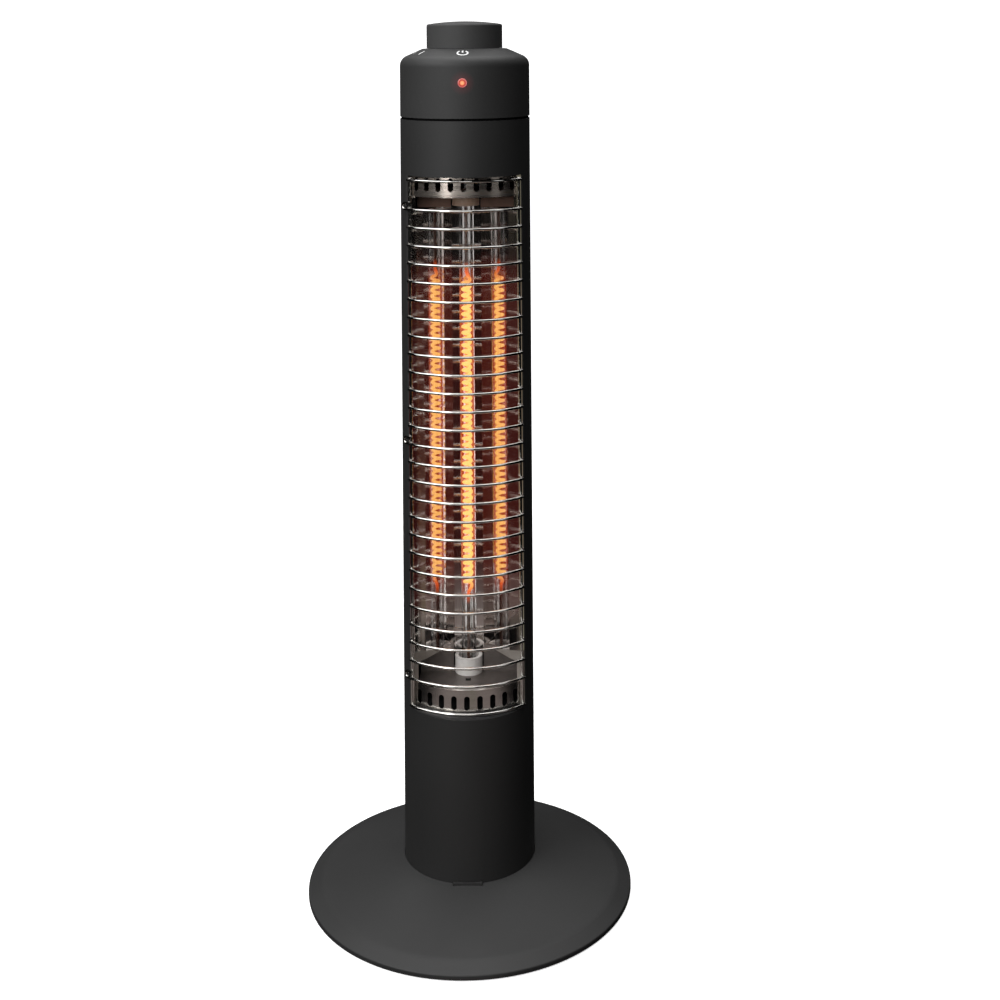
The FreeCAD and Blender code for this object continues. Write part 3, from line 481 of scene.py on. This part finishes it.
tree.links.new(worn, tree.nodes["Material Output"].inputs["Surface"])
dress(polished, "reflector")

# End plates: the bright steel sheets that carry the tube's ends, each with a bowed and slotted band in front.
# They are stamped and folded in one piece.
# Behind the band, the upper plate has a brown matt skin, painted shade under the coil's warm light, and the
# lower one a dull grey skin.

band_back_y, band_fade = -0.025, 0.001
rolling_swing = 0.2
skin_lift = 1.2


def rolled_sheet(name, dark, light, roughness, skin_tone):
    """Bare sheet with faint level rolling lines on the band, and a darker matt skin behind it whose tone can
    carry painted shade.
    """
    material, tree, shader = new_finish(name, roughness, metallic=1.0)
    lines = speckle(tree, size=0.003, stretch=(0.05, 0.05, 1.0))
    uneven = spread(tree, lines, (1 - rolling_swing) * roughness, (1 + rolling_swing) * roughness)
    tree.links.new(two_tones(tree, lines, dark, light), shader.inputs["Base Color"])
    tree.links.new(uneven, shader.inputs["Roughness"])
    lifted = tuple(skin_lift * part for part in skin_tone)
    patches = two_tones(tree, speckle(tree, size=0.006), skin_tone, lifted)
    skin = add_node(tree, "BsdfPrincipled", {"Base Color": patches, "Metallic": 0.7, "Roughness": 0.4})
    behind = shades_along(tree, "Y", [(band_back_y, grey(0.0)), (band_back_y + band_fade, grey(1.0))])
    surface = blend(tree, behind, shader.outputs["BSDF"], skin.outputs["BSDF"])
    tree.links.new(surface, tree.nodes["Material Output"].inputs["Surface"])
    return material


# Painted shade: the upper plate's brown skin stands in for its shade under the coil's warm light.
bright_sheet = rolled_sheet(
    "bright_sheet", (0.5, 0.44, 0.39), (0.64, 0.57, 0.51), roughness=0.27, skin_tone=(0.15, 0.09, 0.068)
)
dulled_sheet = rolled_sheet(
    "dulled_sheet", (0.48, 0.46, 0.44), (0.6, 0.58, 0.56), roughness=0.24, skin_tone=(0.17, 0.15, 0.14)
)
dress(bright_sheet, "upper_end_plate")
dress(dulled_sheet, "lower_end_plate")

# Corner tabs: small triangles of sheet that close the trough's corners beside the cups.
# Each is folded flat behind an end plate's ear, and is as dull as the lower plate.

tube_axis_y = (tube_low.y + tube_high.y) / 2
ear_behind_axis = 0.00045
beside_cup = 0.00105
trough_half_back, trough_slope = 0.011, 0.7
tab_thickness, tab_reach = 0.00035, 0.0006
ear_back_y = tube_axis_y + ear_behind_axis
trough_back_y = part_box("reflector")[1].y
tab_inner_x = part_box("lower_ceramic_cup")[1].x + beside_cup
tab_outer_x = trough_half_back + tab_reach + trough_slope * (trough_back_y - ear_back_y)
tab_plan = ((tab_inner_x, ear_back_y), (tab_outer_x, ear_back_y), (tab_inner_x, trough_back_y))
tab_tops = (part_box("lower_end_plate")[1].z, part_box("upper_end_plate")[0].z + tab_thickness)


def join_rings(shape, rings):
    """Faces between each closed ring of corners and the next."""
    for ring, following in zip(rings, rings[1:]):
        for i in range(len(ring)):
            j = (i + 1) % len(ring)
            shape.faces.new((ring[i], following[i], following[j], ring[j]))


shape = bmesh.new()
for top in tab_tops:
    for side in (-1, 1):
        rings = [
            [shape.verts.new((side * x, y, z)) for x, y in tab_plan] for z in (top - tab_thickness, top)
        ]
        for ring in rings:
            shape.faces.new(ring)
        join_rings(shape, rings)
bmesh.ops.recalc_face_normals(shape, faces=shape.faces)
tabs = loose("corner_tabs", shape_to_mesh(shape, "corner_tabs"))
tabs.data.materials.append(dulled_sheet)
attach(tabs, "heater")

# Tube ends: fired ceramic cups on the end plates, with the tube's caps inside them.
# The glaze is thin, so the clay's grain shows through, and the upper cup's brown is painted shade under the
# coil's warm light.

ceramic = mottled(
    "white_ceramic", (0.74, 0.71, 0.68), (0.82, 0.79, 0.76), size=0.003, roughness=0.45, height=3e-5
)
# Painted shade: the upper cup's brown tone stands in for its shade and the coil's warm light.
painted_shade_ceramic = mottled(
    "painted_shade_ceramic", (0.56, 0.38, 0.28), (0.63, 0.44, 0.33), size=0.003, roughness=0.5, height=3e-5
)
dress(ceramic, "lower_ceramic_cup", "lower_tube_cap", "upper_tube_cap")
dress(painted_shade_ceramic, "upper_ceramic_cup")

# Heating coil: a wound resistance wire with a straight tail at each end, which runs into the tube's cap.
# It glows yellow where it is coiled and dull red along its tails.

half_tail, whole_tail = 0.005, 0.014
dull_red, orange, hot_yellow = (0.01, 0.001, 0.0), (1.0, 0.13, 0.02), (1.4, 0.83, 0.22)
filament, tree, shader = new_finish("glowing_filament", roughness=0.6)
glow = shades_along(
    tree,
    "Z",
    [
        (coil_low - whole_tail, dull_red),
        (coil_low - half_tail, orange),
        (coil_low + half_tail, hot_yellow),
        (coil_high - half_tail, hot_yellow),
        (coil_high + half_tail, orange),
        (coil_high + whole_tail, dull_red),
    ],
)
give_off(tree, shader, glow)
shader.inputs["Base Color"].default_value = (0.05, 0.03, 0.02, 1.0)
dress(filament, "heating_coil")

# Quartz tube: clear drawn glass round the coil.
# Along the coil a soft red glow is painted on it as emission, standing in for the coil's light in the glass.

glow_fade = 0.012
glow_off, painted_glow_red = grey(0.0), (1.0, 0.09, 0.012)
quartz, tree, shader = new_finish("clear_quartz", roughness=0.0, specular=0.2)
shader.inputs["Transmission Weight"].default_value = 1.0
shader.inputs["IOR"].default_value = 1.3
# Painted light: a red glow given off by the glass over the coil's height.
painted_tube_glow = shades_along(
    tree,
    "Z",
    [
        (coil_low - glow_fade, glow_off),
        (coil_low + glow_fade, painted_glow_red),
        (coil_high - glow_fade, painted_glow_red),
        (coil_high + glow_fade, glow_off),
    ],
)
give_off(tree, shader, painted_tube_glow, strength=0.11)
dress(quartz, "quartz_tube")

# Wiring inside: silicone-sleeved leads to the tube's ends, and the thermal cut-out in its aluminium can.
# The leads run into the tube's caps, and two screws hold the cut-out on the reflector's back.

sleeve = mottled(
    "wire_sleeve", (0.5, 0.48, 0.44), (0.6, 0.58, 0.54), size=0.002, roughness=0.6, height=3e-5
)
plain_aluminium = mottled(
    "plain_aluminium", grey(0.5), grey(0.64), size=0.002, roughness=0.4, metallic=1.0, height=1e-5
)
dress(sleeve, "lower_lead_wire", "upper_lead_wire")
dress(plain_aluminium, "thermal_cutout", "heat_sink", "control_shaft")

# Guard: bowed chromed steel wires across two uprights, held by spot welds.
# Three of the wires end in a loop that hooks over a peg on the column's left side.

chrome = mottled(
    "guard_chrome", (0.56, 0.55, 0.53), (0.66, 0.65, 0.62), size=0.002, roughness=0.12, metallic=1.0
)
dress(chrome, "guard_wires", "guard_hook_wires", "guard_frame", "guard_uprights")

wire_radius = 0.001
wire_count = 27
hook_rise = 0.0044
bow_radius = 0.0604
weld_spacing = 0.00202
bead_radius = 0.0009
bead_sides, bead_step = 10, 30
guard_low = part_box("guard_wires")[0]
hooks_low, hooks_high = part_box("guard_hook_wires")
frame_low, frame_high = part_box("guard_frame")
upright_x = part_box("guard_uprights")[1].x - wire_radius
bow_centre_y = guard_low.y + wire_radius + bow_radius
weld_angle = math.asin(upright_x / (bow_radius - weld_spacing))
weld_radius = bow_radius - weld_spacing / 2
first_level = hooks_low.z + wire_radius
last_level = hooks_high.z - hook_rise - wire_radius
weld_levels = [first_level + (last_level - first_level) * i / (wire_count - 1) for i in range(wire_count)]
weld_levels += [frame_low.z + wire_radius, frame_high.z - wire_radius]
weld_places = []
for level in weld_levels:
    for side in (-1, 1):
        outward = Vector((side * math.sin(weld_angle), -math.cos(weld_angle), 0.0))
        weld_places.append((outward * weld_radius + Vector((0, bow_centre_y, level)), outward))
bead_turns = [math.radians(a) for a in range(0, 180 + bead_step, bead_step)]
bead_profile = [(bead_radius * math.sin(t), bead_radius * math.cos(t)) for t in bead_turns]
bead = loose("bead", lathe("bead", bead_profile, bead_sides))
welds = set_on_places("guard_spot_welds", bead, weld_places, chrome)
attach(welds, "heater")

# Control board: a green laminate inside the head, with the diode, the triac and its heat sink on it.
# Three screws hold it on the collar's posts.

board = mottled(
    "board_green", (0.01, 0.07, 0.03), (0.02, 0.1, 0.045), size=0.003, roughness=0.4, height=2e-5
)
dress(board, "control_board")

# Head: the moulded cap above the groove, in the same satin black as the base, on a collar of near black,
# darker than its own plastic as painted shade in the groove.
# It is held to its collar by screws from below, and the pilot light's red spill round the lens is painted on
# it as emission.

lens_low, lens_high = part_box("led_lens")
lens_middle = (lens_low + lens_high) / 2
lens_radius = (lens_high.x - lens_low.x) / 2
lens_depth_share = 0.2
painted_spill_radius = 0.009


def off_the_lens(tree, far):
    """0 at the middle of the pilot light and 1 at that distance from it; depth counts for less."""
    offset = vector_math(tree, "SUBTRACT", place_on_piece(tree), lens_middle)["Vector"]
    flat = vector_math(tree, "MULTIPLY", offset, (1.0, lens_depth_share, 1.0))["Vector"]
    return share_between(tree, vector_math(tree, "LENGTH", flat)["Value"], 0.0, far)


head_black = satin_black("satin_black_head", tone=0.026, roughness=0.58)
tree = head_black.node_tree
# Painted light: a pool of the pilot light's red, given off round the lens.
painted_red_spill = shades(tree, off_the_lens(tree, painted_spill_radius), [(0.0, (0.06, 0.006, 0.008)), (1.0, grey(0.0))])
give_off(tree, tree.nodes["Principled BSDF"], painted_red_spill)
dress(head_black, "head_shell")
# Painted shade: the collar is near black, darker than its own plastic, for the shade in the groove.
collar_shade_black = mottled(
    "collar_shade_black", grey(0.001), grey(0.002), size=0.002, roughness=0.7, specular=0.05
)
dress(collar_shade_black, "head_collar")

# Pilot light: a red lens in the front of the head with a lit diode behind it.
# Its glow is painted on as emission: clear in the middle, dark round that, and a painted highlight at its
# rim.

red_lens, tree, shader = new_finish("red_lens", roughness=0.15)
lit = shades(
    tree,
    off_the_lens(tree, lens_radius),
    [
        (0.0, (1.0, 0.6, 0.3)),
        (0.28, (1.0, 0.38, 0.16)),
        (0.5, (0.42, 0.04, 0.03)),
        (0.68, (0.55, 0.12, 0.11)),
        (0.85, (0.8, 0.34, 0.32)),
        (1.0, (0.4, 0.05, 0.05)),
    ],
)
give_off(tree, shader, lit)
shader.inputs["Base Color"].default_value = (0.1, 0.01, 0.01, 1.0)
dress(red_lens, "led_lens")

lit_diode, tree, shader = new_finish("lit_diode", roughness=0.3)
spark = two_tones(tree, speckle(tree, size=0.002), (1.0, 0.1, 0.05), (1.0, 0.2, 0.08))
give_off(tree, shader, spark, strength=3.0)
dress(lit_diode, "led")

# Dial marks: white pad-printed signs on the sloping shoulder round the knob.
# The off sign faces forward, and five steps run round to the right by way of the back.

head_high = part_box("head_shell")[1]
knob_low, knob_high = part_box("knob")
head_radius = head_high.x
shoulder_height = 0.0075
knob_margin = 0.003
shoulder_top_radius = knob_high.x + knob_margin
ink_height, ink_depth = 0.00006, 0.00012
ink_merge = 1e-7
mark_up_slope = 0.0112
step_bearing, step_count = 54.0, 5
digit_height, digit_weight = 0.0056, 0.00015
digit_share = 0.7
tick_width, tick_length = 0.0009, 0.0026
tick_shares = (1 / 3, 2 / 3)
sign_outer, sign_inner = 0.0043, 0.0032
sign_gap, sign_step = 38, 4
bar_half_width, bar_low, bar_high = 0.0006, 0.0005, 0.0038

slope_run = head_radius - shoulder_top_radius
slope_length = math.hypot(slope_run, shoulder_height)
slope_in, slope_up = slope_run / slope_length, shoulder_height / slope_length
shoulder_foot_z = head_high.z - shoulder_height
mark_radius = head_radius - slope_in * mark_up_slope


def on_shoulder(across, up, bearing):
    """Point of the shoulder for a flat drawing at that bearing, counted leftwards from the front."""
    along = mark_up_slope + up
    radius = head_radius - slope_in * along + slope_up * ink_height
    angle = math.radians(bearing) - across / mark_radius
    z = shoulder_foot_z + slope_up * along + slope_in * ink_height
    return (-radius * math.sin(angle), -radius * math.cos(angle), z)


def quad(low, high):
    """Upright rectangle in the drawing, from its low left to its high right corner."""
    return [(low[0], low[1]), (high[0], low[1]), (high[0], high[1]), (low[0], high[1])], [(0, 1, 2, 3)]


def open_ring():
    """The off sign's ring, open at the top."""
    turns = [math.radians(a) for a in range(sign_gap, 360 - sign_gap + 1, sign_step)]
    points = [(r * math.sin(t), r * math.cos(t)) for t in turns for r in (sign_inner, sign_outer)]
    faces = [(2 * i, 2 * i + 1, 2 * i + 3, 2 * i + 2) for i in range(len(turns) - 1)]
    return points, faces


def digit(text):
    """Flat outline of one printed number."""
    letter = bpy.data.curves.new("digit", "FONT")
    letter.body = text
    letter.size = digit_height / digit_share
    letter.offset = digit_weight
    letter.align_x = letter.align_y = "CENTER"
    flat = settled(loose("digit", letter), "digit")
    points = [tuple(v.co[:2]) for v in flat.data.vertices]
    faces = [tuple(p.vertices) for p in flat.data.polygons]
    bpy.data.objects.remove(flat)
    return points, faces


bar = quad((-bar_half_width, bar_low), (bar_half_width, bar_high))
tick = quad((-tick_width / 2, -tick_length / 2), (tick_width / 2, tick_length / 2))
drawings = [(open_ring(), 0.0), (bar, 0.0)]
for step in range(1, step_count + 1):
    drawings.append((digit(str(step)), step * step_bearing))
for step in range(1, step_count):
    drawings += [(tick, (step + share) * step_bearing) for share in tick_shares]

points, faces = [], []
for (flat_points, flat_faces), bearing in drawings:
    start = len(points)
    points += [on_shoulder(across, up, bearing) for across, up in flat_points]
    faces += [tuple(start + i for i in face) for face in flat_faces]
mesh = bpy.data.meshes.new("dial_marks")
mesh.from_pydata(points, [], faces)
shape = bmesh.new()
shape.from_mesh(mesh)
bmesh.ops.remove_doubles(shape, verts=shape.verts, dist=ink_merge)
for face in shape.faces:
    face.normal_update()
    if face.normal.z < 0:
        face.normal_flip()
shape.to_mesh(mesh)
shape.free()
ink = mottled("white_ink", grey(0.72), grey(0.82), size=0.001, roughness=0.5)
mesh.materials.append(ink)
marks = loose("dial_marks", mesh)
thickness = marks.modifiers.new("ink", "SOLIDIFY")
thickness.thickness = ink_depth
thickness.offset = -1.0
marks = settled(marks, "dial_marks")
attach(marks, "heater")

# Knob: a crowned cap pressed on the control's shaft, with one white line on its side.
# Its plastic has a softer, duller skin than the head.

knob_black = satin_black("soft_black_knob", tone=0.04, roughness=0.66)
dress(knob_black, "knob")

line_width, line_from_top, line_length = 0.0014, 0.0042, 0.008
line_middle = Vector((knob_low.x, 0.0, knob_high.z - line_from_top - line_length / 2))
pointer = loose("knob_line", block("knob_line", (2 * ink_depth, line_width, line_length), line_middle))
pointer.data.materials.append(ink)
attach(pointer, "knob")

# Stage: a round pale floor that fades into a white surround, so every side has the same plain studio.
# Both are matt, and hidden from reflections and from bounced light.

floor_radius, surround_radius, surround_height = 1.0, 2.4, 3.0
floor_sides = 96
floor_fade_radius = 0.5
floor_paint, tree, shader = new_finish("floor_paint", roughness=0.9, specular=0.1)
reach = vector_math(tree, "LENGTH", place_on_piece(tree))["Value"]
outwards = share_between(tree, reach, floor_fade_radius, floor_radius)
pale = two_tones(tree, speckle(tree, size=0.01), grey(0.86), grey(0.9))
tree.links.new(pale, shader.inputs["Base Color"])
give_off(tree, shader, shades(tree, outwards, [(0.0, grey(0.75)), (1.0, grey(1.0))]), strength=0.9)
shape = bmesh.new()
bmesh.ops.create_circle(shape, cap_ends=True, radius=floor_radius, segments=floor_sides)
floor = loose("floor", shape_to_mesh(shape, "floor"))
floor.data.materials.append(floor_paint)

white_surround, tree, shader = new_finish("white_surround", roughness=1.0, specular=0.0)
shader.inputs["Emission Color"].default_value = (1.0, 1.0, 1.0, 1.0)
shader.inputs["Emission Strength"].default_value = 1.0
surround_turns = [2 * math.pi * i / floor_sides for i in range(floor_sides)]
surround_profile = ((floor_radius, 0.0), (surround_radius, 0.0), (surround_radius, surround_height))
shape = bmesh.new()
join_rings(
    shape,
    [
        [shape.verts.new((radius * math.cos(t), radius * math.sin(t), z)) for t in surround_turns]
        for radius, z in surround_profile
    ],
)
surround = loose("surround", shape_to_mesh(shape, "surround"))
surround.data.materials.append(white_surround)
for backdrop in (floor, surround):
    backdrop.visible_glossy = False
    backdrop.visible_diffuse = False

# Grey sheet: what the bright metal sees of the floor, a dim patch in front that fades out towards the camera.
# Only reflections show it.

sheet_half_width, sheet_near, sheet_far, sheet_fade = 0.3, -0.12, -0.66, -0.42
sheet_corners = quad((-sheet_half_width, sheet_far), (sheet_half_width, sheet_near))[0]
grey_sheet, tree, shader = new_finish("grey_sheet", roughness=1.0, specular=0.0)
depth = add_node(tree, "SeparateXYZ", {"Vector": place_on_piece(tree)}).outputs["Y"]
away = share_between(tree, depth, sheet_fade, sheet_far)
give_off(tree, shader, shades(tree, away, [(0.0, (0.28, 0.235, 0.22)), (1.0, (0.008, 0.006, 0.006))]))
shader.inputs["Base Color"].default_value = (0.0, 0.0, 0.0, 1.0)
sheet_mesh = bpy.data.meshes.new("grey_sheet")
sheet_mesh.from_pydata([(x, y, 0.0) for x, y in sheet_corners], [], [(0, 1, 2, 3)])
sheet_mesh.materials.append(grey_sheet)
sheet = loose("grey_sheet", sheet_mesh)

# Grey strip: a narrow card that rises towards the camera, where the reflector's right flange looks.
# Only reflections show it.

strip_sides = (0.026, 0.056)
strip_ends = ((-0.3, 0.002), (-1.75, 0.45))
grey_card, tree, shader = new_finish("grey_card", roughness=1.0, specular=0.0)
give_off(tree, shader, two_tones(tree, speckle(tree, size=0.1), (0.2, 0.195, 0.14), (0.23, 0.225, 0.165)))
shader.inputs["Base Color"].default_value = (0.0, 0.0, 0.0, 1.0)
strip_mesh = bpy.data.meshes.new("grey_strip")
strip_mesh.from_pydata([(x, y, z) for y, z in strip_ends for x in strip_sides], [], [(0, 2, 3, 1)])
strip_mesh.materials.append(grey_card)
strip = loose("grey_strip", strip_mesh)
for card in (sheet, strip):
    card.visible_camera = False
    card.visible_diffuse = False
    card.visible_shadow = False

# Studio light: soft boxes above on the left and in front, an upright strip on each side and a soft top light.
# The room round them is dim, so bright metal shows dark between the lights.
# Each light stands at a bearing from the front, counted leftwards, and faces a point on the column's axis.

for name, bearing, distance, height, size, radiance, aim_height in (
    ("left_soft_box", 58.0, 1.6, 1.6, (1.4, 1.5), 4.4, 0.35),
    ("front_soft_box", 6.0, 1.6, 0.9, (0.9, 0.45), 3.0, 0.5),
    ("left_strip", 29.0, 1.6, 1.0, (0.34, 1.2), 7.2, 0.45),
    ("right_strip", -49.0, 1.6, 1.0, (0.34, 1.2), 0.9, 0.45),
    ("top_light", 180.0, 0.2, 2.2, (2.0, 2.0), 3.8, 0.0),
):
    lamp = bpy.data.lights.new(name, "AREA")
    lamp.shape = "RECTANGLE"
    lamp.size, lamp.size_y = size
    lamp.energy = radiance * math.pi * lamp.size * lamp.size_y
    light = loose(name, lamp)
    angle = math.radians(bearing)
    light.location = (-distance * math.sin(angle), -distance * math.cos(angle), height)
    light.rotation_mode = "QUATERNION"
    light.rotation_quaternion = (Vector((0.0, 0.0, aim_height)) - light.location).to_track_quat("-Z", "Y")

room = bpy.data.worlds.new("dim_room")
room.use_nodes = True
room.node_tree.nodes["Background"].inputs["Color"].default_value = (0.004, 0.0037, 0.0035, 1.0)
scene.world = room
scene.view_settings.view_transform = "Standard"

# Camera: as high as the knob and level, its picture slid down as in a view camera, so uprights stay upright.
# The slid picture is made by a slanted parent, and the whole picture is turned a little.

picture_size = 1000.0
focal_pixels = 1493.0
level_pixel_x, level_pixel_y = 525.0, 37.0
camera_place = Vector((0.043, -1.12, 0.633))
picture_turn = math.radians(0.4)
sensor_width = 36.0

slide_right = (picture_size / 2 - level_pixel_x) / focal_pixels
slide_up = (level_pixel_y - picture_size / 2) / focal_pixels
centre_ray = Vector((slide_right, 1.0, slide_up))
lens = bpy.data.cameras.new("camera")
lens.sensor_width = sensor_width
lens.lens = focal_pixels * centre_ray.length / picture_size * sensor_width
camera = loose("camera", lens)
rig = loose("camera_rig", None)
right = Vector((math.cos(picture_turn), 0.0, -math.sin(picture_turn)))
up = Vector((math.sin(picture_turn), 0.0, math.cos(picture_turn)))
slant = Matrix((right, up, -centre_ray.normalized())).transposed().to_4x4()
slant.translation = camera_place
camera.parent = rig
camera.matrix_parent_inverse = slant
scene.camera = camera
